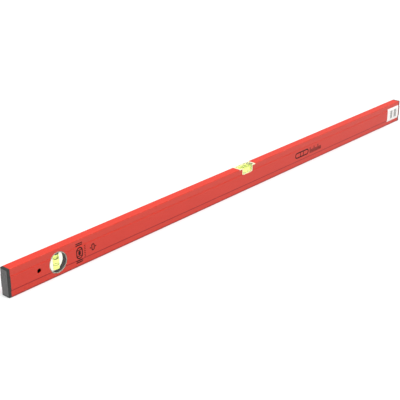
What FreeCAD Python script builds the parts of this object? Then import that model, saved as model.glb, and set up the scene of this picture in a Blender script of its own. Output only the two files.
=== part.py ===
import FreeCAD, Part
import os

import Sketcher
from FreeCAD import Placement, Rotation, Vector

# Box-section spirit level, millimetres, +X along the body, +Y away from the front face, +Z up.
# Origin: middle of the bottom measuring face.

DRIVING = {
    "total_length": 1200,
    "height": 50,
    "depth": 20,
    "web_step": 0.8,
    "web_step_rise": 0.2,
    "band_height": 13,
    "side_wall": 1.8,
    "edge_wall": 2.4,
    "edge_radius": 0.8,
    "cavity_radius": 0.5,
    "edge_break": 0.3,
    "slide_gap": 0.15,
    "cut_run_out": 1,
    "cap_thickness": 5,
    "cap_plug_length": 18,
    "cap_wall": 2,
    "cap_lead": 0.5,
    "cap_rounding": 1.2,
    "crush_rib": 0.1,
    "crush_rib_height": 1.2,
    "crush_rib_lead": 4,
    "pad_border": 2.2,
    "pad_recess": 2,
    "pad_proud": 0.3,
    "pad_groove": 0.5,
    "pad_groove_margin": 2,
    "hang_inset": 62,
    "hang_radius": 4,
    "hang_chamfer": 0.4,
    "window_length": 50,
    "window_depth": 15,
    "notch_length": 33,
    "notch_radius": 3,
    "top_clearance": 0.2,
    "flange_thickness": 1.8,
    "carrier_wall": 1.5,
    "carrier_side_wall": 1,
    "carrier_border": 3.2,
    "block_floor_wall": 1.3,
    "bore_radius": 5.2,
    "bore_length": 36,
    "fluid_gap": 0.35,
    "ring_width": 0.6,
    "level_bubble_length": 11,
    "level_bubble_radius": 2.3,
    "bubble_gap": 0.15,
    "bubble_nose_flat": 0.2,
    "ring_margin": 0.8,
    "ring_seat": 0.03,
    "plug_length": 3.2,
    "plug_fit": 0.05,
    "bond_end_gap": 0.5,
    "plumb_inset": 102,
    "plumb_radius": 19,
    "bezel_width": 1.6,
    "bezel_thickness": 1.6,
    "bezel_fit": 0.1,
    "collar_gap": 0.4,
    "view_face_proud": 0.2,
    "plumb_bore_radius": 6,
    "plumb_bore_length": 26,
    "plumb_bubble_length": 9,
    "plumb_bubble_radius": 4.2,
    "label_length": 50,
    "label_height": 31.6,
    "label_thickness": 0.1,
    "label_end_gap": 1.5,
    "label_slant": 0.8,
}


class Size:
    """A length in millimetres together with the sheet formula that gives it."""

    def __init__(self, number, formula):
        self.number = float(number)
        self.formula = formula

    def __add__(self, other):
        other = as_size(other)
        return Size(self.number + other.number, "(%s + %s)" % (self.formula, other.formula))

    def __sub__(self, other):
        other = as_size(other)
        return Size(self.number - other.number, "(%s - %s)" % (self.formula, other.formula))

    def __mul__(self, factor):
        return Size(self.number * factor, "(%s * %s)" % (self.formula, factor))

    def __truediv__(self, factor):
        return Size(self.number / factor, "(%s / %s)" % (self.formula, factor))

    def __neg__(self):
        return Size(-self.number, "(0 - %s)" % self.formula)


def as_size(value):
    return value if isinstance(value, Size) else Size(value, str(value))


def dim(name):
    return Size(DRIVING[name], "dims." + name)


doc = FreeCAD.newDocument("spirit_level")
sheet = doc.addObject("Spreadsheet::Sheet", "dims")
for row, (name, value) in enumerate(DRIVING.items(), 1):
    sheet.set("A%d" % row, name)
    sheet.set("B%d" % row, str(value))
    sheet.setAlias("B%d" % row, name)
doc.recompute()

nodes = []

# Sizes that several pieces share.
half_depth = dim("depth") / 2
band_half = half_depth - dim("web_step")
cavity_half = half_depth - dim("side_wall")
mid_height = dim("height") / 2
body_length = dim("total_length") - dim("cap_thickness") * 2
web_low = dim("band_height")
web_high = dim("height") - dim("band_height")
ceiling = dim("height") - dim("edge_wall")
hang_x = dim("hang_inset") - dim("total_length") / 2
plumb_x = dim("plumb_inset") - dim("total_length") / 2
insert_top = dim("height") - dim("top_clearance")
notch_floor = dim("height") - dim("window_depth")
flange_under = insert_top - dim("flange_thickness")
face_half = band_half - dim("slide_gap")
tray_half = cavity_half - dim("slide_gap")
seat_half = tray_half - dim("carrier_side_wall")
block_floor = notch_floor + dim("slide_gap") + dim("carrier_wall")
bore_height = block_floor + dim("block_floor_wall") + dim("bore_radius")


def bind(item, prop, size):
    item.setExpression(prop, as_size(size).formula)


def node(item, label):
    """Gives the piece its own name and puts it on the list of pieces to write out."""
    item.Label = label
    nodes.append(item)
    return item


def move_to(item, x=0, y=0, z=0, turn=0):
    """Places a piece in the level's frame; turn is in degrees about the vertical."""
    item.Placement = Placement(Vector(0, 0, 0), Rotation(Vector(0, 0, 1), turn))
    for letter, size in (("x", x), ("y", y), ("z", z)):
        bind(item, "Placement.Base." + letter, size)


def new_body(label):
    return node(doc.addObject("PartDesign::Body", label + "_body"), label)


def new_sketch(body, plane, offset=None):
    """Empty sketch on one of the body's own planes: XY, XZ (normal -Y) or YZ (normal +X)."""
    sketch = body.newObject("Sketcher::SketchObject", "sketch")
    for feature in body.Origin.OriginFeatures:
        if feature.Role == plane + "_Plane":
            sketch.AttachmentSupport = (feature, [""])
    sketch.MapMode = "FlatFace"
    if offset is not None:
        bind(sketch, "AttachmentOffset.Base.z", offset)
    return sketch


def pin(sketch, geometry, point, across, up):
    """Fixes a point of a sketch at the given distances from the sketch origin."""
    for kind, size in (("DistanceX", across), ("DistanceY", up)):
        size = as_size(size)
        if size.number < 0:
            ends = (geometry, point, -1, 1)
            size = -size
        else:
            ends = (-1, 1, geometry, point)
        index = sketch.addConstraint(Sketcher.Constraint(kind, *ends, size.number))
        sketch.setExpression("Constraints[%d]" % index, size.formula)


def draw_outline(sketch, corners):
    """Closed outline of straight lines through the corners, every corner fixed."""
    points = [Vector(as_size(across).number, as_size(up).number, 0) for across, up in corners]
    first = sketch.GeometryCount
    for start, end in zip(points, points[1:] + points[:1]):
        sketch.addGeometry(Part.LineSegment(start, end))
    count = len(corners)
    for index, (across, up) in enumerate(corners):
        before = first + (index - 1) % count
        sketch.addConstraint(Sketcher.Constraint("Coincident", before, 2, first + index, 1))
        pin(sketch, first + index, 1, across, up)


def draw_box(sketch, left, right, low, high):
    draw_outline(sketch, [(left, low), (right, low), (right, high), (left, high)])


def draw_circle(sketch, across, up, radius):
    centre = Vector(as_size(across).number, as_size(up).number, 0)
    index = sketch.addGeometry(Part.Circle(centre, Vector(0, 0, 1), radius.number))
    pin(sketch, index, 3, across, up)
    rule = sketch.addConstraint(Sketcher.Constraint("Radius", index, radius.number))
    sketch.setExpression("Constraints[%d]" % rule, radius.formula)


def pad(body, sketch, length, symmetric=False, reverse=False):
    feature = body.newObject("PartDesign::Pad", "pad")
    feature.Profile = sketch
    bind(feature, "Length", length)
    if symmetric:
        feature.SideType = "Symmetric"
    feature.Reversed = reverse
    doc.recompute()
    return feature


def pocket(body, sketch, length=None, symmetric=False, reverse=False):
    """Cuts the sketch out of the body, right through when no length is given."""
    feature = body.newObject("PartDesign::Pocket", "pocket")
    feature.Profile = sketch
    if length is None:
        feature.Type = "ThroughAll"
    else:
        bind(feature, "Length", length)
    if symmetric:
        feature.SideType = "Symmetric"
    feature.Reversed = reverse
    before = volume_before(body, feature)
    doc.recompute()
    if feature.Shape.Volume >= before:
        raise ValueError("pocket in %s removes nothing" % body.Label)
    return feature


def volume_before(body, feature):
    return feature.BaseFeature.Shape.Volume if feature.BaseFeature else body.Shape.Volume


def soften(body, kind, wanted, size):
    """Fillet or chamfer on every edge that the wanted test picks."""
    base = body.Tip
    edges = enumerate(base.Shape.Edges, 1)
    names = ["Edge%d" % i for i, edge in edges if not edge.Degenerated and wanted(edge)]
    feature = body.newObject("PartDesign::" + kind, kind.lower())
    feature.Base = (base, names)
    bind(feature, "Radius" if kind == "Fillet" else "Size", size)
    doc.recompute()
    return feature


def same(first, second):
    return abs(first - second) < 0.001


def runs_along(edge, axis):
    """True for a straight edge parallel to the axis 0, 1 or 2."""
    if edge.Curve.TypeId != "Part::GeomLine":
        return False
    return abs(abs(edge.tangentAt(edge.FirstParameter)[axis]) - 1) < 0.001


def side_outline():
    """Outer section of the level: a slightly raised web between two edge bands."""
    rise = dim("web_step_rise")
    right = [
        (band_half, 0),
        (band_half, web_low),
        (half_depth, web_low + rise),
        (half_depth, web_high - rise),
        (band_half, web_high),
        (band_half, dim("height")),
    ]
    left = [(-across, up) for across, up in reversed(right)]
    return right + left


def make_profile():
    body = new_body("box_profile")
    section = new_sketch(body, "YZ")
    draw_outline(section, side_outline())
    draw_box(section, -cavity_half, cavity_half, dim("edge_wall"), ceiling)
    pad(body, section, body_length, symmetric=True)

    tall = dim("height").number
    soften(body, "Fillet", lambda e: runs_along(e, 0)
           and same(abs(e.CenterOfMass.y), band_half.number)
           and (same(e.CenterOfMass.z, 0) or same(e.CenterOfMass.z, tall)), dim("edge_radius"))
    soften(body, "Fillet", lambda e: runs_along(e, 0)
           and same(abs(e.CenterOfMass.y), cavity_half.number), dim("cavity_radius"))

    # T-shaped opening for the centre vial: across the top wall, then down both side walls.
    opening = new_sketch(body, "XZ")
    wide = dim("window_length") / 2
    narrow = dim("notch_length") / 2
    above = dim("height") + dim("cut_run_out")
    draw_outline(opening, [
        (-narrow, notch_floor), (narrow, notch_floor), (narrow, ceiling), (wide, ceiling),
        (wide, above), (-wide, above), (-wide, ceiling), (-narrow, ceiling)])
    pocket(body, opening, symmetric=True)
    soften(body, "Fillet", lambda e: runs_along(e, 1)
           and same(e.CenterOfMass.z, notch_floor.number)
           and same(abs(e.CenterOfMass.x), narrow.number), dim("notch_radius"))

    round_holes = new_sketch(body, "XZ")
    draw_circle(round_holes, hang_x, mid_height, dim("hang_radius"))
    draw_circle(round_holes, plumb_x, mid_height, dim("plumb_radius"))
    pocket(body, round_holes, symmetric=True)
    soften(body, "Chamfer", lambda e: e.Curve.TypeId == "Part::GeomCircle"
           and same(e.Curve.Radius, dim("hang_radius").number)
           and same(abs(e.CenterOfMass.y), half_depth.number), dim("hang_chamfer"))
    move_to(body)


def make_end_cap(label, side):
    """Cap modelled at its joint with the profile, outer face towards +X."""
    body = new_body(label)
    flange = new_sketch(body, "YZ")
    draw_outline(flange, side_outline())
    thickness = dim("cap_thickness") - dim("pad_proud")
    pad(body, flange, thickness)
    tall = dim("height").number
    soften(body, "Fillet", lambda e: runs_along(e, 0)
           and same(abs(e.CenterOfMass.y), band_half.number)
           and (same(e.CenterOfMass.z, 0) or same(e.CenterOfMass.z, tall)), dim("cap_rounding"))
    soften(body, "Fillet", lambda e: same(e.BoundBox.XMin, thickness.number)
           and same(e.BoundBox.XMax, thickness.number), dim("cap_rounding"))

    plug_half = cavity_half - dim("slide_gap")
    plug_low = dim("edge_wall") + dim("slide_gap")
    plug_high = ceiling - dim("slide_gap")
    plug = new_sketch(body, "YZ")
    draw_box(plug, -plug_half, plug_half, plug_low, plug_high)
    pad(body, plug, dim("cap_plug_length"), reverse=True)
    soften(body, "Chamfer", lambda e: runs_along(e, 0)
           and same(abs(e.CenterOfMass.y), plug_half.number), dim("cavity_radius"))
    # The lead-in chamfer round the inner end of the plug.
    soften(body, "Chamfer", lambda e: same(e.BoundBox.XMax, -dim("cap_plug_length").number),
           dim("cap_lead"))

    hollow = new_sketch(body, "YZ", -dim("cap_plug_length"))
    wall = dim("cap_wall")
    middle_rib = wall / 2
    for low, high in ((plug_low + wall, mid_height - middle_rib),
                      (mid_height + middle_rib, plug_high - wall)):
        draw_box(hollow, -plug_half + wall, plug_half - wall, low, high)
    pocket(body, hollow, dim("cap_plug_length"), reverse=True)

    # Crush ribs that hold the plug in the cavity.
    ribs = new_sketch(body, "YZ")
    rib_out = plug_half + dim("crush_rib")
    rib_half = dim("crush_rib_height") / 2
    for height in (mid_height - dim("band_height"), mid_height + dim("band_height")):
        for sign in (1, -1):
            near, far = plug_half * sign, rib_out * sign
            left, right = (near, far) if sign > 0 else (far, near)
            draw_box(ribs, left, right, height - rib_half, height + rib_half)
    pad(body, ribs, dim("cap_plug_length") - dim("crush_rib_lead"), reverse=True)

    recess = new_sketch(body, "YZ", thickness)
    border = dim("pad_border")
    draw_box(recess, -half_depth + border, half_depth - border, border, dim("height") - border)
    pocket(body, recess, dim("pad_recess"))
    soften(body, "Fillet", lambda e: runs_along(e, 0)
           and same(abs(e.CenterOfMass.y), (half_depth - border).number), dim("cap_rounding"))
    move_to(body, x=body_length / 2 * side, turn=0 if side > 0 else 180)


def make_end_pad(label, side):
    """Shock pad that fills the recess in the cap, with shallow grip grooves."""
    body = new_body(label)
    border = dim("pad_border") + dim("slide_gap") / 2
    outer_half = half_depth - border
    seat = dim("cap_thickness") - dim("pad_proud") - dim("pad_recess")
    outline = new_sketch(body, "YZ", seat)
    draw_box(outline, -outer_half, outer_half, border, dim("height") - border)
    pad(body, outline, dim("pad_recess") + dim("pad_proud"))
    soften(body, "Fillet", lambda e: runs_along(e, 0), dim("cap_rounding"))

    grooves = new_sketch(body, "YZ", dim("cap_thickness"))
    width = dim("pad_groove")
    groove_end = border + dim("pad_groove_margin")
    for place in (-1, 0, 1):
        centre = outer_half / 2 * place
        draw_box(grooves, centre - width / 2, centre + width / 2,
                 groove_end, dim("height") - groove_end)
    pocket(body, grooves, width / 2)
    move_to(body, x=body_length / 2 * side, turn=0 if side > 0 else 180)


def make_label():
    """Thin sheet stuck on the front face; it slants over the steps of the web."""
    body = new_body("stock_label")
    sheet_y = dim("label_thickness")
    rise = dim("web_step_rise")
    slant = dim("label_slant")
    low = mid_height - dim("label_height") / 2
    high = mid_height + dim("label_height") / 2
    section = new_sketch(body, "YZ")
    against = [(-band_half, low), (-band_half, web_low - slant), (-half_depth, web_low + rise),
               (-half_depth, web_high - rise), (-band_half, web_high + slant), (-band_half, high)]
    outside = [(across - sheet_y, up) for across, up in reversed(against)]
    draw_outline(section, against + outside)
    pad(body, section, dim("label_length"))
    move_to(body, x=body_length / 2 - dim("label_end_gap") - dim("label_length"))


def make_carrier():
    """Tray that hangs by its flange in the top opening and lines the two side notches."""
    body = new_body("centre_vial_carrier")
    gap = dim("slide_gap")
    long_half = dim("window_length") / 2 - gap
    short_half = dim("notch_length") / 2 - gap
    bottom = notch_floor + gap
    # The tray steps in at the top, clear of the rounded corners inside the profile.
    neck_half = tray_half - dim("cavity_radius")
    shoulder = ceiling - dim("cavity_radius") - gap
    tray = new_sketch(body, "YZ")
    draw_outline(tray, [
        (-tray_half, bottom), (tray_half, bottom), (tray_half, shoulder), (neck_half, shoulder),
        (neck_half, insert_top), (-neck_half, insert_top), (-neck_half, shoulder),
        (-tray_half, shoulder)])
    pad(body, tray, long_half * 2, symmetric=True)
    window_lining = new_sketch(body, "XY", bottom)
    draw_box(window_lining, -short_half, short_half, -face_half, face_half)
    pad(body, window_lining, insert_top - bottom)
    soften(body, "Fillet", lambda e: runs_along(e, 1)
           and same(e.CenterOfMass.z, bottom.number)
           and same(abs(e.CenterOfMass.x), short_half.number), dim("notch_radius"))
    flange = new_sketch(body, "XY", flange_under)
    draw_box(flange, -long_half, long_half, -face_half, face_half)
    pad(body, flange, dim("flange_thickness"))

    pocket_half = long_half - dim("carrier_border")
    seat = new_sketch(body, "XY", block_floor)
    draw_box(seat, -pocket_half, pocket_half, -seat_half, seat_half)
    pocket(body, seat, reverse=True)
    window_half = short_half - dim("carrier_wall")
    side_windows = new_sketch(body, "XZ")
    draw_box(side_windows, -window_half, window_half, block_floor, dim("height"))
    pocket(body, side_windows, symmetric=True)
    move_to(body)


def make_level_block():
    """Clear block: flat viewing faces on top, front and back, round bore along its length."""
    body = new_body("centre_vial_block")
    gap = dim("slide_gap")
    block_half = dim("window_length") / 2 - gap - dim("carrier_border") - gap
    boss_half = dim("notch_length") / 2 - gap - dim("carrier_wall") - gap
    core = new_sketch(body, "XY", block_floor)
    core_side = seat_half - gap
    draw_box(core, -block_half, block_half, -core_side, core_side)
    pad(body, core, insert_top - block_floor)
    bosses = new_sketch(body, "XY", block_floor)
    draw_box(bosses, -boss_half, boss_half, -face_half, face_half)
    pad(body, bosses, insert_top - block_floor)

    bore = new_sketch(body, "YZ", -dim("bore_length") / 2)
    draw_circle(bore, 0, bore_height, dim("bore_radius"))
    pocket(body, bore, reverse=True)
    soften(body, "Chamfer", lambda e: same(e.CenterOfMass.z, insert_top.number)
           and (runs_along(e, 0) or runs_along(e, 1)), dim("edge_break"))
    move_to(body)


def cylinder(name, radius, length, x=0, y=0, z=0, axis=Vector(1, 0, 0)):
    """Round bar that starts at the given place and runs along the axis."""
    bar = doc.addObject("Part::Cylinder", name)
    bind(bar, "Radius", radius)
    bind(bar, "Height", length)
    bar.Placement = Placement(Vector(0, 0, 0), Rotation(Vector(0, 0, 1), axis))
    for letter, size in (("x", x), ("y", y), ("z", z)):
        bind(bar, "Placement.Base." + letter, size)
    return bar


def cut(name, base, tool):
    result = doc.addObject("Part::Cut", name)
    result.Base = base
    result.Tool = tool
    return result


def group(label, members):
    """Several identical pieces kept together as separate solids of one node."""
    together = node(doc.addObject("Part::Compound", label + "_set"), label)
    together.Links = members
    return together


def make_level_liquid():
    """Filling of the centre vial, with the open run along the top where the bubble travels."""
    length = dim("bore_length") - dim("bubble_gap") * 2
    radius = dim("bore_radius") - dim("fluid_gap")
    filling = cylinder("level_filling", radius, length, x=-length / 2, z=bore_height)
    run_radius = dim("level_bubble_radius") + dim("bubble_gap")
    run_length = length - dim("bubble_gap") * 2
    run_round = cylinder("level_run_round", run_radius, run_length,
                         x=-run_length / 2, z=level_bubble_z)
    run_open = doc.addObject("Part::Box", "level_run_open")
    bind(run_open, "Length", run_length)
    bind(run_open, "Width", run_radius * 2)
    bind(run_open, "Height", radius)
    for letter, size in (("x", -run_length / 2), ("y", -run_radius), ("z", level_bubble_z)):
        bind(run_open, "Placement.Base." + letter, size)
    run = doc.addObject("Part::Fuse", "level_run")
    run.Base = run_round
    run.Tool = run_open
    node(cut("level_liquid_cut", filling, run), "centre_vial_liquid")


def make_bubble(label, radius, length, plane):
    """Air bubble: a round-ended bar centred on its own origin."""
    body = new_body(label)
    section = new_sketch(body, plane)
    draw_circle(section, 0, 0, radius)
    pad(body, section, length, symmetric=True)
    soften(body, "Fillet", lambda e: e.Curve.TypeId == "Part::GeomCircle", radius - dim("bubble_nose_flat"))
    return body


def make_rings(label, names, places, bore_radius, axis, origin):
    """Pair of ring marks pressed into the bore, one at each end of the bubble's level place."""
    outer = bore_radius - dim("ring_seat")
    inner = bore_radius - dim("fluid_gap") + dim("ring_seat")
    rings = []
    for name, place in zip(names, places):
        where = dict(origin)
        letter = "x" if axis.x else "z"
        where[letter] = as_size(origin.get(letter, 0)) + place - dim("ring_width") / 2
        rings.append(cut(name, cylinder(name + "_outer", outer, dim("ring_width"), axis=axis, **where),
                         cylinder(name + "_inner", inner, dim("ring_width"), axis=axis, **where)))
    return group(label, rings)


def make_filler_plug(label, radius, length, plane):
    """Stopper for the filling end of a bore, chamfered where it enters."""
    body = new_body(label)
    section = new_sketch(body, plane)
    draw_circle(section, 0, 0, radius)
    pad(body, section, length)
    soften(body, "Chamfer", lambda e: e.Curve.TypeId == "Part::GeomCircle", dim("edge_break"))
    return body


def make_level_bond():
    """Four adhesive pads between the carrier flange and the top edges of the side walls."""
    start = dim("notch_length") / 2 + dim("bond_end_gap")
    length = dim("window_length") / 2 - dim("bond_end_gap") * 2 - start
    width = band_half - cavity_half - dim("slide_gap") * 2
    pads = []
    for end in (1, -1):
        for side in (1, -1):
            block = doc.addObject("Part::Box", "bond_pad")
            bind(block, "Length", length)
            bind(block, "Width", width)
            bind(block, "Height", flange_under - ceiling)
            low_x = start if end > 0 else -(start + length)
            near_y = cavity_half + dim("slide_gap")
            low_y = near_y if side > 0 else -(near_y + width)
            for letter, size in (("x", low_x), ("y", low_y), ("z", ceiling)):
                bind(block, "Placement.Base." + letter, size)
            pads.append(block)
    group("centre_vial_bond", pads)


def make_plumb_block():
    """Round clear block: a wide collar inside the body, a smaller viewing face each side."""
    body = new_body("plumb_vial_block")
    collar = new_sketch(body, "XZ")
    draw_circle(collar, 0, 0, collar_radius)
    pad(body, collar, collar_half * 2, symmetric=True)
    faces = new_sketch(body, "XZ")
    draw_circle(faces, 0, 0, view_radius)
    pad(body, faces, view_face * 2, symmetric=True)
    bore = new_sketch(body, "XY", -dim("plumb_bore_length") / 2)
    draw_circle(bore, 0, 0, dim("plumb_bore_radius"))
    pocket(body, bore, reverse=True)
    soften(body, "Chamfer", lambda e: e.Curve.TypeId == "Part::GeomCircle"
           and same(e.Curve.Radius, view_radius.number)
           and same(abs(e.CenterOfMass.y), view_face.number), dim("edge_break"))
    move_to(body, x=plumb_x, z=mid_height)


def make_bezel(label, turn):
    """Retaining ring pressed into the side wall; its face sits just inside the web surface."""
    body = new_body(label)
    outline = new_sketch(body, "XZ", bezel_face)
    draw_circle(outline, 0, 0, bezel_radius)
    draw_circle(outline, 0, 0, bezel_radius - dim("bezel_width"))
    pad(body, outline, dim("bezel_thickness"), reverse=True)
    soften(body, "Chamfer", lambda e: e.Curve.TypeId == "Part::GeomCircle"
           and same(e.CenterOfMass.y, -bezel_face.number), dim("edge_break"))
    move_to(body, x=plumb_x, z=mid_height, turn=turn)


def make_plumb_bond():
    """Adhesive bead between the block's collar and each bezel."""
    thickness = bezel_face - dim("bezel_thickness") - collar_half
    beads = []
    for side in (1, -1):
        start = collar_half if side > 0 else -(collar_half + thickness)
        where = {"x": plumb_x, "y": start, "z": mid_height}
        along = Vector(0, 1, 0)
        beads.append(cut("bead", cylinder("bead_outer", collar_radius, thickness, axis=along, **where),
                         cylinder("bead_inner", view_radius + dim("bezel_fit"), thickness, axis=along, **where)))
    group("plumb_vial_bond", beads)


def make_plumb_liquid():
    """Filling of the plumb vial round the straight run of its bubble."""
    length = dim("plumb_bore_length") - dim("bubble_gap") * 2
    radius = dim("plumb_bore_radius") - dim("fluid_gap")
    up = Vector(0, 0, 1)
    low = mid_height - length / 2
    filling = cylinder("plumb_filling", radius, length, x=plumb_x, z=low, axis=up)
    run = cylinder("plumb_run", dim("plumb_bubble_radius") + dim("bubble_gap"),
                   length - dim("bubble_gap") * 2, x=plumb_x, z=low + dim("bubble_gap"), axis=up)
    node(cut("plumb_liquid_cut", filling, run), "plumb_vial_liquid")


# Heights and radii that the vial pieces share.
level_bubble_z = (bore_height + dim("bore_radius") - dim("fluid_gap")
                  - dim("bubble_gap") - dim("level_bubble_radius"))
collar_radius = dim("plumb_radius") - dim("collar_gap")
bezel_radius = dim("plumb_radius") - dim("bezel_fit")
bezel_face = half_depth - dim("bezel_fit")
view_radius = bezel_radius - dim("bezel_width") - dim("bezel_fit")
view_face = band_half + dim("view_face_proud")
collar_half = cavity_half - dim("slide_gap")
plumb_bubble_z = (mid_height + dim("plumb_bore_length") / 2
                  - dim("bubble_gap") * 3 - dim("plumb_bubble_length") / 2)

make_profile()
make_end_cap("end_cap_left", -1)
make_end_cap("end_cap_right", 1)
make_end_pad("end_pad_left", -1)
make_end_pad("end_pad_right", 1)
make_label()

make_carrier()
make_level_block()
make_level_liquid()
level_bubble = make_bubble("centre_vial_bubble", dim("level_bubble_radius"),
                           dim("level_bubble_length"), "YZ")
move_to(level_bubble, z=level_bubble_z)
ring_place = dim("level_bubble_length") / 2 + dim("ring_margin")
make_rings("centre_vial_rings", ("level_ring_left", "level_ring_right"), (-ring_place, ring_place),
           dim("bore_radius"), Vector(1, 0, 0), {"z": bore_height})
level_plug = make_filler_plug("centre_vial_plug", dim("bore_radius") - dim("plug_fit"),
                              dim("plug_length"), "YZ")
move_to(level_plug, x=dim("bore_length") / 2 + dim("plug_fit"), z=bore_height)
make_level_bond()

make_plumb_block()
make_bezel("plumb_vial_bezel_front", 0)
make_bezel("plumb_vial_bezel_back", 180)
make_plumb_bond()
make_plumb_liquid()
plumb_bubble = make_bubble("plumb_vial_bubble", dim("plumb_bubble_radius"),
                           dim("plumb_bubble_length"), "XY")
move_to(plumb_bubble, x=plumb_x, z=plumb_bubble_z)
ring_place = dim("plumb_bubble_length") / 2 + dim("ring_margin")
make_rings("plumb_vial_rings", ("plumb_ring_low", "plumb_ring_high"), (-ring_place, ring_place),
           dim("plumb_bore_radius"), Vector(0, 0, 1), {"x": plumb_x, "z": mid_height})
plumb_plug = make_filler_plug("plumb_vial_plug", dim("plumb_bore_radius") - dim("plug_fit"),
                              dim("plug_length"), "XY")
move_to(plumb_plug, x=plumb_x,
        z=mid_height + dim("plumb_bore_length") / 2 + dim("plug_fit"))

doc.recompute()
for item in doc.Objects:
    if "Invalid" in item.State or "Error" in item.State:
        raise ValueError("%s did not build: %s" % (item.Label, item.State))

os.makedirs("parts", exist_ok=True)
for item in nodes:
    shape = item.Shape
    if shape.isNull() or not shape.isValid() or not shape.Solids:
        raise ValueError("%s has no valid solid" % item.Label)
    shape.exportStep("parts/%s.step" % item.Label)
    box = shape.BoundBox
    print("%-26s %d solid(s) %10.1f mm3  x %.2f..%.2f y %.2f..%.2f z %.2f..%.2f" % (
        item.Label, len(shape.Solids), shape.Volume,
        box.XMin, box.XMax, box.YMin, box.YMax, box.ZMin, box.ZMax))
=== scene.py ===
import math

import bmesh
import bpy
from mathutils import Matrix, Vector


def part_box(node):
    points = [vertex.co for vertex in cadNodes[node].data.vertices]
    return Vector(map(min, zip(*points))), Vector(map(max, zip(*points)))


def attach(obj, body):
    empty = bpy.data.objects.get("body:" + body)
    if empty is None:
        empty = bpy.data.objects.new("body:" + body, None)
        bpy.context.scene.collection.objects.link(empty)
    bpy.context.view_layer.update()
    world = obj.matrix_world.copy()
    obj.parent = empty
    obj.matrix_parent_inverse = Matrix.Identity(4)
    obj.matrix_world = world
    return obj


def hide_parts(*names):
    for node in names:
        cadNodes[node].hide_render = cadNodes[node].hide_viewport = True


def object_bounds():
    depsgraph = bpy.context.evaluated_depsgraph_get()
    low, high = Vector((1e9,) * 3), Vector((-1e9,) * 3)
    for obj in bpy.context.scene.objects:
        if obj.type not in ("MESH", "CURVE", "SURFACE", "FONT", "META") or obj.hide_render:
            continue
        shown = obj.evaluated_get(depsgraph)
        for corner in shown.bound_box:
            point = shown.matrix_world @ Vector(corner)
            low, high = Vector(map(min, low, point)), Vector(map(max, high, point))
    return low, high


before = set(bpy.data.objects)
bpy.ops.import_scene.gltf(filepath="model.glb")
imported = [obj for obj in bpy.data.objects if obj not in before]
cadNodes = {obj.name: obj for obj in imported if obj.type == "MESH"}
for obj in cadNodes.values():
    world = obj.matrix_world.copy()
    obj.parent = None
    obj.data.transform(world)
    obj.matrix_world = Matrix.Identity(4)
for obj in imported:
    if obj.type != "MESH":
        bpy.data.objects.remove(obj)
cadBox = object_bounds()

mm = 0.001
scene = bpy.context.scene
midHeight = (cadBox[0][2] + cadBox[1][2]) / 2
sharpAngle = 35     # degrees, past which shading breaks at an edge
mergeGap = 1e-7     # metres, under which two points are one


# small helpers

def linear(text, alpha=1.0):  # sRGB hex to the linear values that shaders take
    channels = [int(text[i:i + 2], 16) / 255 for i in (0, 2, 4)]
    return (*[c / 12.92 if c <= 0.04045 else ((c + 0.055) / 1.055) ** 2.4 for c in channels], alpha)


def newMaterial(name):  # the material, its node tree and its object coordinates
    material = bpy.data.materials.new(name)
    material.use_nodes = True
    tree = material.node_tree
    tree.nodes.clear()
    return material, tree, addNode(tree, "TexCoord", out="Object")


def addNode(tree, kind, inputs=(), out=0, **settings):
    # inputs go to the sockets in order, or to those a dictionary names: a socket is linked, a value is set
    node = tree.nodes.new("ShaderNode" + kind)
    for key, value in settings.items():
        setattr(node, key, value)
    for socket, value in inputs.items() if isinstance(inputs, dict) else enumerate(inputs):
        if isinstance(value, bpy.types.NodeSocket):
            tree.links.new(value, node.inputs[socket])
        else:
            node.inputs[socket].default_value = value
    if out is None:
        return node.outputs
    return node.outputs[out] if len(node.outputs) else node


def between(tree, value, low, high):  # 1 where value lies between low and high, else 0
    above = addNode(tree, "Math", (value, low), operation="GREATER_THAN")
    below = addNode(tree, "Math", (value, high), operation="LESS_THAN")
    return addNode(tree, "Math", (above, below), operation="MULTIPLY")


def mottled(tree, place, spacingMm, first, second, detail=3.0, roughness=0.5):
    # two close colours in soft clouds about spacingMm across, and the clouds themselves
    clouds = addNode(tree, "TexNoise", {
        "Vector": place, "Scale": 1 / (spacingMm * mm), "Detail": detail, "Roughness": roughness})
    color = addNode(tree, "Mix", {0: clouds, 6: linear(first), 7: linear(second)}, 2, data_type="RGBA")
    return color, clouds


def dress(material, *names):
    for name in names:
        mesh = cadNodes[name].data
        mesh.materials.clear()
        mesh.materials.append(material)


def makePiece(bm, name, material, body="level_body", standsFor=()):
    bmesh.ops.remove_doubles(bm, verts=bm.verts, dist=mergeGap)
    bmesh.ops.recalc_face_normals(bm, faces=bm.faces)
    mesh = bpy.data.meshes.new(name)
    bm.to_mesh(mesh)
    bm.free()
    for polygon in mesh.polygons:
        polygon.use_smooth = True
    mesh.set_sharp_from_angle(angle=math.radians(sharpAngle))
    mesh.materials.append(material)
    piece = bpy.data.objects.new(name, mesh)
    scene.collection.objects.link(piece)
    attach(piece, body)
    if standsFor:
        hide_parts(*standsFor)


def everything(bm):
    return bm.verts[:] + bm.edges[:] + bm.faces[:]


def newVerts(grown):
    return [item for item in grown["geom"] if isinstance(item, bmesh.types.BMVert)]


def foldedEdges(bm, least):  # edges whose faces meet at more than least, in radians
    return [e for e in bm.edges if len(e.link_faces) == 2 and e.calc_face_angle() > least]


def roundEdges(bm, edges, width, segments=3):
    bmesh.ops.bevel(bm, geom=edges, offset=width, offset_type="OFFSET", affect="EDGES",
                    segments=segments, profile=0.5, material=-1, clamp_overlap=True)


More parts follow.
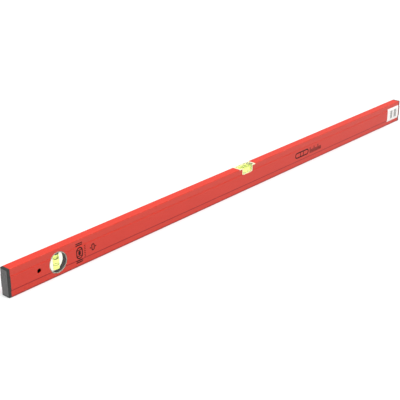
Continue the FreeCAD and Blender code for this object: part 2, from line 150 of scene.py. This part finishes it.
def spinSection(section, centre, axis, steps=96):  # section is (radius, distance along the axis)
    bm = bmesh.new()
    corners = [bm.verts.new((radius, 0, along)) for radius, along in section]
    edges = [bm.edges.new(pair) for pair in zip(corners, corners[1:])]
    if section[0][0] > 0:  # an open ring section is closed, one that starts on the axis isn't
        edges.append(bm.edges.new((corners[-1], corners[0])))
    bmesh.ops.spin(bm, geom=corners + edges, cent=(0, 0, 0), axis=(0, 0, 1),
                   angle=2 * math.pi, steps=steps, use_merge=True)
    bmesh.ops.remove_doubles(bm, verts=bm.verts, dist=mergeGap)
    turn = Vector((0, 0, 1)).rotation_difference(Vector(axis)).to_matrix().to_4x4()
    bmesh.ops.transform(bm, matrix=Matrix.Translation(centre) @ turn, verts=bm.verts)
    return bm


# materials

redCoat = {
    "main": "D23624",
    "deep": "CA3020",
    "cloudMm": 60,
    "fineMm": 5,
    "roughness": (0.36, 0.46),
    "peelMm": 2.4,              # real orange peel is under 1 mm, drawn coarser so that it shows
    "peelDepthMm": 0.015,
    "scuff": "DD7F70",
    "scuffMm": 9,
    "scuffFromMiddleMm": 24.5,  # wear begins this far above and below the middle height
    "scuffFromSideMm": 8.6,
    "scuffAbove": 0.58,         # noise under this is unworn
    "scuffStrength": 0.35,
    "scuffRoughness": 0.15,
    # painted highlight: a paler band near the top, where light falls from above
    "paintedHighlight": "E0A08E",          # this and the next two tones by height are set one by one
    "paintedHighlightMm": (36.9, 49.0),
    "paintedHighlightStrength": (0.0, 0.05),
    # painted shadow: deep red just under the web's lower ledge, where the ledge casts its shadow
    "corner": "A60700",
    "cornerMm": (11.0, 13.1),
    "cornerStrength": (0.9, 1.0),
    # painted shade: darker along the bottom edge
    "paintedFootShade": "7A0A04",
    "paintedFootShadeMm": 2.0,
    "paintedFootShadeStrength": (0.5, 0.9),
}
shadedBareMetal = {
    # painted shade: the bare aluminium is drawn dark grey, as the closed hollow is in shade
    "color": "6E6F70",
    "lineMm": 0.6,              # real drawing lines are finer
    "roughness": (0.4, 0.6),
    "halfWidthMm": 8.3,
    "heightMm": (2.3, 47.5),
}


def redPowderCoat():
    # polyester powder coat on extruded aluminium: an even red with a soft gloss and a faint orange peel
    material, tree, place = newMaterial("redPowderCoatSemiGloss")
    split = addNode(tree, "SeparateXYZ", [place], None)
    y, z = split[1], split[2]
    sideways = addNode(tree, "Math", [y], operation="ABSOLUTE")
    clouds = addNode(tree, "TexNoise", {
        "Vector": place, "Scale": 1 / (redCoat["cloudMm"] * mm), "Detail": 4.0, "Roughness": 0.5})
    fine = addNode(tree, "TexNoise", {
        "Vector": place, "Scale": 1 / (redCoat["fineMm"] * mm), "Detail": 2.0, "Roughness": 0.5})
    color = addNode(tree, "Mix", {
        0: addNode(tree, "MapRange", {0: clouds, 3: 0.0, 4: 0.8}),
        6: linear(redCoat["main"]), 7: linear(redCoat["deep"])}, 2, data_type="RGBA")

    # long edges lose a little gloss and colour where the level is slid along walls
    offMiddle = addNode(tree, "Math", (z, midHeight), operation="SUBTRACT")
    offMiddle = addNode(tree, "Math", [offMiddle], operation="ABSOLUTE")
    nearEdge = addNode(tree, "Math", (
        addNode(tree, "Math", (offMiddle, redCoat["scuffFromMiddleMm"] * mm), operation="GREATER_THAN"),
        addNode(tree, "Math", (sideways, redCoat["scuffFromSideMm"] * mm), operation="GREATER_THAN"),
    ), operation="MULTIPLY")
    worn = addNode(tree, "TexNoise", {
        "Vector": place, "Scale": 1 / (redCoat["scuffMm"] * mm), "Detail": 6.0, "Roughness": 0.7})
    worn = addNode(tree, "Math", (worn, redCoat["scuffAbove"]), operation="GREATER_THAN")
    scuffs = addNode(tree, "Math", (nearEdge, worn), operation="MULTIPLY")
    share = addNode(tree, "Math", (scuffs, redCoat["scuffStrength"]), operation="MULTIPLY")
    color = addNode(tree, "Mix", {0: share, 6: color, 7: linear(redCoat["scuff"])}, 2, data_type="RGBA")

    # painted light and shade by height: a paler band near the top as painted highlight, deep red under the
    # web's lower ledge as painted shadow and a darker bottom edge as painted shade
    for tone, where, clouding in (
            ("paintedHighlight", between(tree, z, *[edge * mm for edge in redCoat["paintedHighlightMm"]]), clouds),
            ("corner", between(tree, z, *[edge * mm for edge in redCoat["cornerMm"]]), fine),
            ("paintedFootShade", addNode(tree, "Math", (z, redCoat["paintedFootShadeMm"] * mm), operation="LESS_THAN"), fine)):
        low, high = redCoat[tone + "Strength"]
        strength = addNode(tree, "MapRange", {0: clouding, 3: low, 4: high})
        share = addNode(tree, "Math", (where, strength), operation="MULTIPLY")
        color = addNode(tree, "Mix", {0: share, 6: color, 7: linear(redCoat[tone])}, 2, data_type="RGBA")

    low, high = redCoat["roughness"]
    rough = addNode(tree, "Math", (
        addNode(tree, "MapRange", {0: fine, 3: low, 4: high}),
        addNode(tree, "Math", (scuffs, redCoat["scuffRoughness"]), operation="MULTIPLY"),
    ), operation="ADD")
    peel = addNode(tree, "TexNoise", {
        "Vector": place, "Scale": 1 / (redCoat["peelMm"] * mm), "Detail": 2.0, "Roughness": 0.5})
    coat = addNode(tree, "BsdfPrincipled", {
        "Base Color": color, "Roughness": rough, "IOR": 1.5, "Specular IOR Level": 0.36,
        "Normal": addNode(tree, "Bump", {"Height": peel, "Distance": redCoat["peelDepthMm"] * mm})})

    # inside the box the extrusion is bare, dull aluminium with drawing lines along it; its dark grey is
    # painted shade for the closed hollow
    insideY = addNode(tree, "Math", (sideways, shadedBareMetal["halfWidthMm"] * mm), operation="LESS_THAN")
    insideZ = between(tree, z, *[edge * mm for edge in shadedBareMetal["heightMm"]])
    insideBox = addNode(tree, "Math", (insideY, insideZ), operation="MULTIPLY")
    along = addNode(tree, "Mapping", {"Vector": place, "Scale": (0.02, 1, 1)})
    lines = addNode(tree, "TexNoise", {
        "Vector": along, "Scale": 1 / (shadedBareMetal["lineMm"] * mm), "Detail": 2.0})
    low, high = shadedBareMetal["roughness"]
    metal = addNode(tree, "BsdfPrincipled", {
        "Base Color": linear(shadedBareMetal["color"]), "Metallic": 1.0,
        "Roughness": addNode(tree, "MapRange", {0: lines, 3: low, 4: high}),
        "Normal": addNode(tree, "Bump", {"Height": lines, "Distance": 0.01 * mm})})
    mixed = addNode(tree, "MixShader", (insideBox, coat, metal))
    addNode(tree, "OutputMaterial", {"Surface": mixed})
    return material


finishes = {
    "cap": {  # moulded polypropylene, fine spark-eroded grain: near black and dull
        "name": "grainedDarkPolypropylene", "colors": ("272926", "20221F"),
        "grainMm": 0.9, "grainDepthMm": 0.02, "roughness": (0.42, 0.55)},
    "pad": {  # moulded rubber: mid grey, duller than the cap
        "name": "greyShockPadRubber", "colors": ("616060", "585858"),
        "grainMm": 1.2, "grainDepthMm": 0.03, "roughness": (0.55, 0.7)},
    "carrier": {  # undyed moulded plastic: cream, light goes a little way in
        "name": "naturalTranslucentCarrier", "colors": ("F6F0CF", "EFE8BE"),
        "grainMm": 1.5, "grainDepthMm": 0.01, "roughness": (0.3, 0.42),
        "extra": {"Subsurface Weight": 0.35, "Subsurface Radius": (2 * mm, 2 * mm, 1 * mm),
                  "Subsurface Scale": 1.0}},
    "bezel": {  # moulded styrene, smooth: pale, half see-through, glossy
        "name": "clearStyreneBezel", "colors": ("EDF0E2", "E2E6D6"),
        "grainMm": 1.5, "grainDepthMm": 0.005, "roughness": (0.08, 0.16),
        "extra": {"Transmission Weight": 0.65}},
    "plug": {  # poured resin: smooth brown with a half gloss
        "name": "brownSealingResin", "colors": ("5E4430", "4C3524"),
        "grainMm": 1.2, "grainDepthMm": 0.01, "roughness": (0.25, 0.35)},
    "bond": {  # hot-melt glue: lumpy amber, slightly see-through
        "name": "amberHotMeltAdhesive", "colors": ("8A5632", "744526"),
        "grainMm": 1.0, "grainDepthMm": 0.02, "roughness": (0.3, 0.5),
        "extra": {"Transmission Weight": 0.2}},
    "ring": {  # brushed-on lacquer: black with a half gloss
        "name": "blackRingLacquer", "colors": ("121212", "1B1B1B"),
        "grainMm": 0.8, "grainDepthMm": 0.005, "roughness": (0.25, 0.35)},
}
cloudMm = 14  # size of the faint colour clouds in every finish


def plainFinish(key):  # slight colour clouds, a fine grain and a gloss that varies a little
    finish = finishes[key]
    material, tree, place = newMaterial(finish["name"])
    color, clouds = mottled(tree, place, cloudMm, *finish["colors"])
    grain = addNode(tree, "TexNoise", {
        "Vector": place, "Scale": 1 / (finish["grainMm"] * mm), "Detail": 2.0, "Roughness": 0.6})
    gloss = addNode(tree, "TexNoise", {
        "Vector": place, "Scale": 1 / (finish["grainMm"] * 3 * mm), "Detail": 2.0, "Roughness": 0.5})
    low, high = finish["roughness"]
    shader = addNode(tree, "BsdfPrincipled", {
        "Base Color": color, "IOR": 1.5,
        "Roughness": addNode(tree, "MapRange", {0: gloss, 3: low, 4: high}),
        "Normal": addNode(tree, "Bump", {"Height": grain, "Distance": finish["grainDepthMm"] * mm}),
        **finish.get("extra", {})})
    addNode(tree, "OutputMaterial", {"Surface": shader})
    return material


labelPrint = {
    "paper": "FAF9F6",
    "fibre": "F1F0ED",
    "fibreMm": 1.5,
    "ink": "464B4A",
    "inkStrength": 0.9,
    "barsMm": (15.0, 34.0),                         # lowest and highest point of the bars
    "blocksMm": ((556.5, 566.0), (572.5, 584.5)),   # each block's start and end along the level
    "barPitchMm": 1.7,
    "barPart": 0.72,                                # inked part of each pitch
}


def labelPaper():
    # coated white paper sticker, two blocks of thin grey bars, faint fibre mottling
    material, tree, place = newMaterial("coatedLabelPaper")
    split = addNode(tree, "SeparateXYZ", [place], None)
    x, z = split[0], split[2]
    blocks = 0.0
    for low, high in labelPrint["blocksMm"]:
        blocks = addNode(tree, "Math", (between(tree, x, low * mm, high * mm), blocks), operation="ADD")
    rows = between(tree, z, *[edge * mm for edge in labelPrint["barsMm"]])
    wave = addNode(tree, "Math", (x, 1 / (labelPrint["barPitchMm"] * mm)), operation="MULTIPLY")
    wave = addNode(tree, "Math", [wave], operation="FRACT")
    bars = addNode(tree, "Math", (wave, labelPrint["barPart"]), operation="LESS_THAN")
    ink = addNode(tree, "Math", (blocks, rows), operation="MULTIPLY")
    ink = addNode(tree, "Math", (ink, bars), operation="MULTIPLY")
    ink = addNode(tree, "Math", (ink, labelPrint["inkStrength"]), operation="MULTIPLY")
    paper, fibre = mottled(tree, place, labelPrint["fibreMm"], labelPrint["paper"], labelPrint["fibre"], 4.0)
    color = addNode(tree, "Mix", {0: ink, 6: paper, 7: linear(labelPrint["ink"])}, 2, data_type="RGBA")
    shader = addNode(tree, "BsdfPrincipled", {
        "Base Color": color, "Roughness": addNode(tree, "MapRange", {0: fibre, 3: 0.38, 4: 0.5}),
        "Normal": addNode(tree, "Bump", {"Height": fibre, "Distance": 0.01 * mm})})
    addNode(tree, "OutputMaterial", {"Surface": shader})
    return material


# painted light: the centre block has a weak light of its own that brightens it
centreAcrylic = {"clear": "FBFDE6", "cloudy": "F6FAD6", "paintedGlow": "F0F2C4", "paintedGlowStrength": 0.16}
plumbAcrylic = {
    "clear": "FDFFF6",
    "cloudy": "F5FAE8",
    "edge": "070806",
    "edgeCloudy": "0D0E0B",
    "edgeMm": (17.0, 30.0),    # radius from which the block's edge is drawn black, and past its outside
    "edgeHalfMm": 8.1,
}


def polishedAcrylic(name, tint, block):
    # polished PMMA: glass-clear with faint smears on the viewing faces
    material, tree, place = newMaterial(name)
    color, smear = mottled(tree, place, 12, tint["clear"], tint["cloudy"], 3.0, 0.6)
    inputs = {
        "Base Color": color, "Roughness": addNode(tree, "MapRange", {0: smear, 3: 0.0, 4: 0.05}),
        "IOR": 1.49, "Transmission Weight": 1.0,
        "Normal": addNode(tree, "Bump", {"Height": smear, "Distance": 0.004 * mm})}
    if "paintedGlow" in tint:  # painted light: a weak light of its own that brightens the block, in place of a fluorescent tint
        inputs.update({"Emission Color": linear(tint["paintedGlow"]), "Emission Strength": tint["paintedGlowStrength"]})
    shader = addNode(tree, "BsdfPrincipled", inputs)
    if "edge" in tint:  # the block's round edge is drawn black
        edgeColor = addNode(tree, "Mix", {
            0: smear, 6: linear(tint["edge"]), 7: linear(tint["edgeCloudy"])}, 2, data_type="RGBA")
        edge = addNode(tree, "BsdfPrincipled", {
            "Base Color": edgeColor, "Roughness": 0.6, "Specular IOR Level": 0.15})
        x, y, z = addNode(tree, "SeparateXYZ", [place], None)
        low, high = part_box(block)
        centre = (low + high) / 2
        squares = []
        for along, middle in ((x, centre.x), (z, centre.z)):
            off = addNode(tree, "Math", (along, middle), operation="SUBTRACT")
            squares.append(addNode(tree, "Math", (off, 2.0), operation="POWER"))
        radius = addNode(tree, "Math", [addNode(tree, "Math", squares, operation="ADD")], operation="SQRT")
        sideways = addNode(tree, "Math", [y], operation="ABSOLUTE")
        inside = addNode(tree, "Math", (sideways, tint["edgeHalfMm"] * mm), operation="LESS_THAN")
        ring = between(tree, radius, *[edge * mm for edge in tint["edgeMm"]])
        atEdge = addNode(tree, "Math", (ring, inside), operation="MULTIPLY")
        shader = addNode(tree, "MixShader", (atEdge, shader, edge))
    addNode(tree, "OutputMaterial", {"Surface": shader})
    return material


liquidTint = {
    "light": "F1F9A4",
    "deep": "E3F282",
    # painted light: the spirit has a weak light of its own that brightens it
    "paintedGlow": "D8EC80",
    "paintedGlowStrength": 0.12,
    "ior": 1.03,        # the acrylic blocks are drawn without their bores
}
bubbleAirTint = {"light": "FFFFFF", "deep": "F3FBE8", "ior": 0.86}  # ior given


def vialLiquid():
    # fluorescent yellow-green spirit: its colour shows and its surface hardly does; its weak light of its
    # own is painted light
    material, tree, place = newMaterial("vialSpiritYellowGreen")
    color, clouds = mottled(tree, place, 6, liquidTint["light"], liquidTint["deep"], 2.0)
    shader = addNode(tree, "BsdfPrincipled", {
        "Base Color": color, "Roughness": 0.0, "IOR": liquidTint["ior"], "Transmission Weight": 1.0,
        "Emission Color": linear(liquidTint["paintedGlow"]), "Emission Strength": liquidTint["paintedGlowStrength"]})
    addNode(tree, "OutputMaterial", {"Surface": shader})
    return material


def bubbleAir():
    # air in spirit: bright middle, dark curved rim
    material, tree, place = newMaterial("bubbleAir")
    color, clouds = mottled(tree, place, 4, bubbleAirTint["light"], bubbleAirTint["deep"], 2.0)
    shader = addNode(tree, "BsdfGlass", {"Color": color, "Roughness": 0.0, "IOR": bubbleAirTint["ior"]})
    addNode(tree, "OutputMaterial", {"Surface": shader})
    return material


inkTint = {"main": "1E0503", "worn": "2E0A07", "speckleMm": 1.2}


def printInk():
    # pad-printed ink on powder coat: dark, dull, slightly broken over the orange peel
    material, tree, place = newMaterial("padPrintInk")
    color, speckle = mottled(
        tree, place, inkTint["speckleMm"], inkTint["main"], inkTint["worn"], 4.0, 0.7)
    shader = addNode(tree, "BsdfPrincipled", {
        "Base Color": color, "Roughness": addNode(tree, "MapRange", {0: speckle, 3: 0.45, 4: 0.6}),
        "Specular IOR Level": 0.15,
        "Normal": addNode(tree, "Bump", {"Height": speckle, "Distance": 0.01 * mm})})
    addNode(tree, "OutputMaterial", {"Surface": shader})
    return material


print("materials")
dress(redPowderCoat(), "box_profile")
dress(labelPaper(), "stock_label")
for key, names in {
        "cap": ("end_cap_left", "end_cap_right"),
        "pad": ("end_pad_left", "end_pad_right"),
        "carrier": ("centre_vial_carrier",),
        "ring": ("centre_vial_rings", "plumb_vial_rings"),
        "plug": ("centre_vial_plug", "plumb_vial_plug"),
        "bond": ("centre_vial_bond", "plumb_vial_bond")}.items():
    dress(plainFinish(key), *names)
bezelMaterial = plainFinish("bezel")
centreAcrylicMaterial = polishedAcrylic("tintedAcrylicBlock", centreAcrylic, "centre_vial_block")
plumbAcrylicMaterial = polishedAcrylic("clearAcrylicBlock", plumbAcrylic, "plumb_vial_block")
liquidMaterial = vialLiquid()
airMaterial = bubbleAir()
inkMaterial = printInk()


# centre vial

print("centre vial")
centreVial = {
    "coreHalfMm": 6.9,      # half width of the block inside the body
    "windowHalfMm": 14.7,   # half length of the part that fills the side notches
    "edgeMm": 0.4,
    "fillRadiusMm": 5.15,
    "barrelMm": 0.06,       # how much narrower the filling is at its ends than in its middle
    "bubbleMm": (11.0, 6.4, 3.8),
    "bubbleTopMm": 9.45,    # above the lowest point of the liquid, low enough to pass inside the rings
}


def buildCentreBlock():
    low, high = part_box("centre_vial_block")
    coreHalf = centreVial["coreHalfMm"] * mm
    windowHalf = centreVial["windowHalfMm"] * mm
    bm = bmesh.new()
    bmesh.ops.create_cube(bm, size=1.0)
    size = Vector((high.x - low.x, 2 * coreHalf, high.z - low.z))
    bmesh.ops.scale(bm, vec=size, verts=bm.verts)
    bmesh.ops.translate(bm, vec=(low + high) / 2, verts=bm.verts)
    for side in (-1, 1):
        bmesh.ops.bisect_plane(bm, geom=everything(bm), plane_no=(1, 0, 0),
                               plane_co=(side * windowHalf, 0, 0))
    for side in (-1, 1):  # the block steps out to the side faces at the notches
        faces = [f for f in bm.faces if f.normal.y * side > 0.9
                 and abs(f.calc_center_median().x) < windowHalf / 2]
        verts = newVerts(bmesh.ops.extrude_face_region(bm, geom=faces))
        bmesh.ops.delete(bm, geom=faces, context="FACES")
        bmesh.ops.translate(bm, vec=(0, side * (high.y - coreHalf), 0), verts=verts)
    bmesh.ops.recalc_face_normals(bm, faces=bm.faces)
    roundEdges(bm, foldedEdges(bm, 0.5), centreVial["edgeMm"] * mm)
    makePiece(bm, "centreVialClearBlock", centreAcrylicMaterial,
              standsFor=["centre_vial_block"])


def fillBore(node, name, vial, axis):
    low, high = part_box(node)
    half = (high - low).dot(Vector(axis)) / 2
    steps = 12
    section = [(0, -half)]
    for step in range(steps + 1):
        along = -1 + 2 * step / steps
        radiusMm = vial["fillRadiusMm"] - vial["barrelMm"] * along * along
        section.append((radiusMm * mm, along * half))
    section.append((0, half))
    bm = spinSection(section, (low + high) / 2, axis, 72)
    makePiece(bm, name, liquidMaterial, standsFor=[node])


def roundBubble(node, name, sizeMm, body, topAt=None):
    low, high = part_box(node)
    centre = (low + high) / 2
    if topAt is not None:
        centre.z = topAt - sizeMm[2] * mm / 2
    fullness = 0.86  # 1 is an ellipsoid, less is fuller, as a bubble pressed against its bore is
    bm = bmesh.new()
    bmesh.ops.create_uvsphere(bm, u_segments=48, v_segments=32, radius=0.5)
    for v in bm.verts:
        v.co = Vector([math.copysign(0.5 * (abs(c) * 2) ** fullness, c) for c in v.co])
    bmesh.ops.scale(bm, vec=Vector(sizeMm) * mm, verts=bm.verts)
    bmesh.ops.translate(bm, vec=centre, verts=bm.verts)
    bmesh.ops.smooth_vert(bm, verts=bm.verts, factor=0.5,
                          use_axis_x=True, use_axis_y=True, use_axis_z=True)
    makePiece(bm, name, airMaterial, body=body, standsFor=[node])


buildCentreBlock()
fillBore("centre_vial_liquid", "centreVialSpirit", centreVial, (1, 0, 0))
roundBubble("centre_vial_bubble", "centreVialBubble", centreVial["bubbleMm"], "centre_bubble",
            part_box("centre_vial_liquid")[0].z + centreVial["bubbleTopMm"] * mm)


# plumb vial

print("plumb vial")
plumbVial = {
    "viewRadiusMm": 17.2,
    "collarRadiusMm": 18.6,
    "collarHalfMm": 8.05,
    "edgeMm": 0.4,
    "fillRadiusMm": 5.95,
    "barrelMm": 0.06,
    "bubbleMm": (9.4, 9.4, 9.0),
    "bezelInMm": 17.3,
    "bezelOutMm": 18.9,
    "bezelRoundMm": 0.5,
    "foldAngle": 0.8,       # radians, past which an edge is rounded
}


def buildPlumbBlock():
    low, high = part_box("plumb_vial_block")
    face = (high.y - low.y) / 2
    view = plumbVial["viewRadiusMm"] * mm
    collar = plumbVial["collarRadiusMm"] * mm
    shoulder = plumbVial["collarHalfMm"] * mm
    section = [(0, -face), (view, -face), (view, -shoulder), (collar, -shoulder),
               (collar, shoulder), (view, shoulder), (view, face), (0, face)]
    bm = spinSection(section, (low + high) / 2, (0, 1, 0))
    bmesh.ops.recalc_face_normals(bm, faces=bm.faces)
    roundEdges(bm, foldedEdges(bm, plumbVial["foldAngle"]), plumbVial["edgeMm"] * mm)
    makePiece(bm, "plumbVialClearBlock", plumbAcrylicMaterial,
              standsFor=["plumb_vial_block"])


def buildBezel(node, name):
    low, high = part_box(node)
    inside = plumbVial["bezelInMm"] * mm
    outside = plumbVial["bezelOutMm"] * mm
    half = (high.y - low.y) / 2
    section = [(inside, -half), (outside, -half), (outside, half), (inside, half)]
    bm = spinSection(section, (low + high) / 2, (0, 1, 0))
    roundEdges(bm, foldedEdges(bm, plumbVial["foldAngle"]), plumbVial["bezelRoundMm"] * mm, 4)
    makePiece(bm, name, bezelMaterial, standsFor=[node])


buildPlumbBlock()
buildBezel("plumb_vial_bezel_front", "plumbVialFrontBezel")
buildBezel("plumb_vial_bezel_back", "plumbVialBackBezel")
fillBore("plumb_vial_liquid", "plumbVialSpirit", plumbVial, (0, 0, 1))
roundBubble("plumb_vial_bubble", "plumbVialBubble", plumbVial["bubbleMm"], "plumb_bubble")


# plain printed marks on the front face

print("printed marks")
sideFace = {
    "webFrontMm": -10.0,
    "bandFrontMm": -9.2,
    "webMm": (13.0, 37.0),    # lowest and highest point of the raised web
}
marks = {
    "inkMm": 0.04,
    "joinMm": 0.05,           # how far one shape runs into the next
    "tallSign": {
        "x": (-459.0, -444.5), "z": (14.0, 36.0), "line": 2.0, "bubble": (5.4, 8.0),
        "tickGap": 1.4, "tickHalf": 0.7, "bands": (7.0, 10.2, 38.4, 41.6), "bandLine": 1.9},
    "dots": {"x": (-441.0, -438.2), "z": (15.0, 35.0), "count": 7, "line": 1.3},
    "plumbSign": {
        "x": (-428.5, -414.0), "z": (19.0, 32.0), "tubeHalf": 3.6, "tubeLine": 1.9,
        "barGap": 4.6, "barHalf": 1.0},
    "levelSign": {
        "x": (163.0, 261.0), "z": (18.5, 32.0), "line": 2.6, "ringOffset": 5.5, "ringHalf": 1.1,
        "loopPart": 0.5, "ticksFromPart": 0.55, "ticksPart": 0.45,
        "ticks": 12, "tickWidth": 2.1, "longEvery": 4, "shortTick": 0.6},
}


def standOnFace(bm, verts, x0, x1, z0, z1):  # moves shapes drawn round the origin to their place
    middle = (z0 + z1) / 2
    low, high = sideFace["webMm"]
    front = sideFace["webFrontMm"] if low <= middle <= high else sideFace["bandFrontMm"]
    bmesh.ops.translate(bm, vec=Vector(((x0 + x1) / 2, front, middle)) * mm, verts=verts)


def addBar(bm, x0, x1, z0, z1):
    made = bmesh.ops.create_grid(bm, x_segments=1, y_segments=1, size=0.5)["verts"]
    bmesh.ops.rotate(bm, matrix=Matrix.Rotation(math.radians(90), 3, "X"), verts=made)
    bmesh.ops.scale(bm, vec=Vector((x1 - x0, 1, z1 - z0)) * mm, verts=made)
    standOnFace(bm, made, x0, x1, z0, z1)


def addLoop(bm, x0, x1, z0, z1, line):  # outline of a round-ended slot
    radius = min(x1 - x0, z1 - z0) / 2
    made = bmesh.ops.create_circle(bm, cap_ends=False, segments=40, radius=radius * mm)["verts"]
    edges = list({e for v in made for e in v.link_edges})
    inner = newVerts(bmesh.ops.extrude_edge_only(bm, edges=edges))
    shrink = (radius - line) / radius
    bmesh.ops.scale(bm, vec=(shrink, shrink, 1), verts=inner)
    whole = made + inner
    bmesh.ops.rotate(bm, matrix=Matrix.Rotation(math.radians(90), 3, "X"), verts=whole)
    stretch = Vector(((x1 - x0) / 2 - radius, 0, (z1 - z0) / 2 - radius)) * mm
    for v in whole:
        v.co.x += math.copysign(stretch.x, v.co.x)
        v.co.z += math.copysign(stretch.z, v.co.z)
    standOnFace(bm, whole, x0, x1, z0, z1)


def inkPiece(bm, name):  # the flat shapes get the thickness of a film of ink, outwards
    verts = newVerts(bmesh.ops.extrude_face_region(bm, geom=bm.faces[:]))
    bmesh.ops.translate(bm, vec=(0, -marks["inkMm"] * mm, 0), verts=verts)
    makePiece(bm, name, inkMaterial)


def printVialSign():
    sign = marks["tallSign"]
    (x0, x1), (z0, z1) = sign["x"], sign["z"]
    middleX, middleZ = (x0 + x1) / 2, (z0 + z1) / 2
    wide, tall = sign["bubble"]
    join = marks["joinMm"]
    bm = bmesh.new()
    addLoop(bm, x0, x1, z0, z1, sign["line"])
    addLoop(bm, middleX - wide / 2, middleX + wide / 2,
            middleZ - tall / 2, middleZ + tall / 2, wide / 2 - join)
    for side in (-1, 1):
        height = middleZ + side * (tall / 2 + sign["tickGap"])
        addBar(bm, x0 + sign["line"] - join, x1 - sign["line"] + join,
               height - sign["tickHalf"], height + sign["tickHalf"])
    for height in sign["bands"]:
        addBar(bm, x0, x1, height, height + sign["bandLine"])
    inkPiece(bm, "printedVialSign")


def printScaleDots():
    dots = marks["dots"]
    z0, z1 = dots["z"]
    bm = bmesh.new()
    for index in range(dots["count"]):
        height = z0 + (z1 - z0) * index / (dots["count"] - 1)
        addBar(bm, *dots["x"], height - dots["line"] / 2, height + dots["line"] / 2)
    inkPiece(bm, "printedScaleDots")


def printPlumbSign():
    sign = marks["plumbSign"]
    (x0, x1), (z0, z1) = sign["x"], sign["z"]
    middleX, middleZ = (x0 + x1) / 2, (z0 + z1) / 2
    barLow, barHigh = middleZ - sign["barHalf"], middleZ + sign["barHalf"]
    bm = bmesh.new()
    addLoop(bm, middleX - sign["tubeHalf"], middleX + sign["tubeHalf"], z0, z1, sign["tubeLine"])
    addBar(bm, x0, middleX - sign["barGap"], barLow, barHigh)
    addBar(bm, middleX + sign["barGap"], x1, barLow, barHigh)
    inkPiece(bm, "printedPlumbSign")


def printLevelSign():
    sign = marks["levelSign"]
    (x0, x1), (z0, z1) = sign["x"], sign["z"]
    wide = x1 - x0
    line = sign["line"]
    bm = bmesh.new()
    addLoop(bm, x0, x0 + wide * sign["loopPart"], z0, z1, line)
    for side in (-1, 1):
        centre = x0 + wide * sign["loopPart"] / 2 + side * sign["ringOffset"]
        addBar(bm, centre - sign["ringHalf"], centre + sign["ringHalf"], z0 + line, z1 - line)
    for index in range(sign["ticks"]):
        x = x0 + wide * sign["ticksFromPart"] + index * wide * sign["ticksPart"] / sign["ticks"]
        tall = 1.0 if index % sign["longEvery"] == 0 else sign["shortTick"]
        addBar(bm, x, x + sign["tickWidth"], z0, z0 + (z1 - z0) * tall)
    inkPiece(bm, "printedLevelSign")


printVialSign()
printScaleDots()
printPlumbSign()
printLevelSign()


# floor, light and camera

print("floor, light and camera")
studio = {
    "floor": "E1E1E1",
    "floorCloudy": "DEDEDE",
    "floorHalfM": 40.0,
    "world": 0.5,
    "overhead": 3.35,
    "overheadAngleDeg": 40,   # a sun this wide is as soft as a ceiling of light boxes, and even
    "overheadFromM": (-0.15, -0.45, 2.5),
    "left": 7.0,
    "leftSizeM": 1.6,
    "leftFromM": (-2.6, 0.1, 1.1),
    "leftToM": (-0.6, 0, 0),
}
view = {
    "placeMm": (-1351.3, -1070.1, 709.0),
    "turnDeg": 41.33,      # heading from +X towards +Y
    "downDeg": 23.12,
    "lensMm": 82.3,
    "sensorMm": 36.0,
}


def layFloor():
    # matt white studio paper
    material, tree, place = newMaterial("studioPaper")
    color, mottle = mottled(tree, place, 80, studio["floor"], studio["floorCloudy"])
    shader = addNode(tree, "BsdfPrincipled", {
        "Base Color": color, "Roughness": 0.9, "Specular IOR Level": 0.1,
        "Normal": addNode(tree, "Bump", {"Height": mottle, "Distance": 0.05 * mm})})
    addNode(tree, "OutputMaterial", {"Surface": shader})

    bm = bmesh.new()
    bmesh.ops.create_grid(bm, x_segments=8, y_segments=8, size=studio["floorHalfM"])
    mesh = bpy.data.meshes.new("floor")
    bm.to_mesh(mesh)
    bm.free()
    mesh.materials.append(material)
    floor = bpy.data.objects.new("floor", mesh)
    scene.collection.objects.link(floor)


def aimed(name, data, place, direction):  # an object that looks along direction, its Y up
    item = bpy.data.objects.new(name, data)
    item.location = place
    item.rotation_mode = "QUATERNION"
    item.rotation_quaternion = direction.to_track_quat("-Z", "Y")
    scene.collection.objects.link(item)
    return item


def lightStudio():
    world = bpy.data.worlds.new("studioWorld")
    world.use_nodes = True
    background = world.node_tree.nodes["Background"]
    background.inputs["Color"].default_value = (1, 1, 1, 1)
    background.inputs["Strength"].default_value = studio["world"]
    scene.world = world

    sun = bpy.data.lights.new("overheadLight", "SUN")
    sun.energy = studio["overhead"]
    sun.angle = math.radians(studio["overheadAngleDeg"])
    start = Vector(studio["overheadFromM"])
    aimed("overheadLight", sun, start, -start)

    panel = bpy.data.lights.new("leftLight", "AREA")
    panel.energy = studio["left"]
    panel.size = studio["leftSizeM"]
    start = Vector(studio["leftFromM"])
    aimed("leftLight", panel, start, Vector(studio["leftToM"]) - start)


def setCamera():
    camera = bpy.data.cameras.new("camera")
    camera.lens = view["lensMm"]
    camera.sensor_width = view["sensorMm"]
    turn, down = math.radians(view["turnDeg"]), math.radians(view["downDeg"])
    ahead = Vector((math.cos(turn) * math.cos(down), math.sin(turn) * math.cos(down), -math.sin(down)))
    scene.camera = aimed("camera", camera, Vector(view["placeMm"]) * mm, ahead)
    scene.view_settings.view_transform = "Standard"


layFloor()
lightStudio()
setCamera()
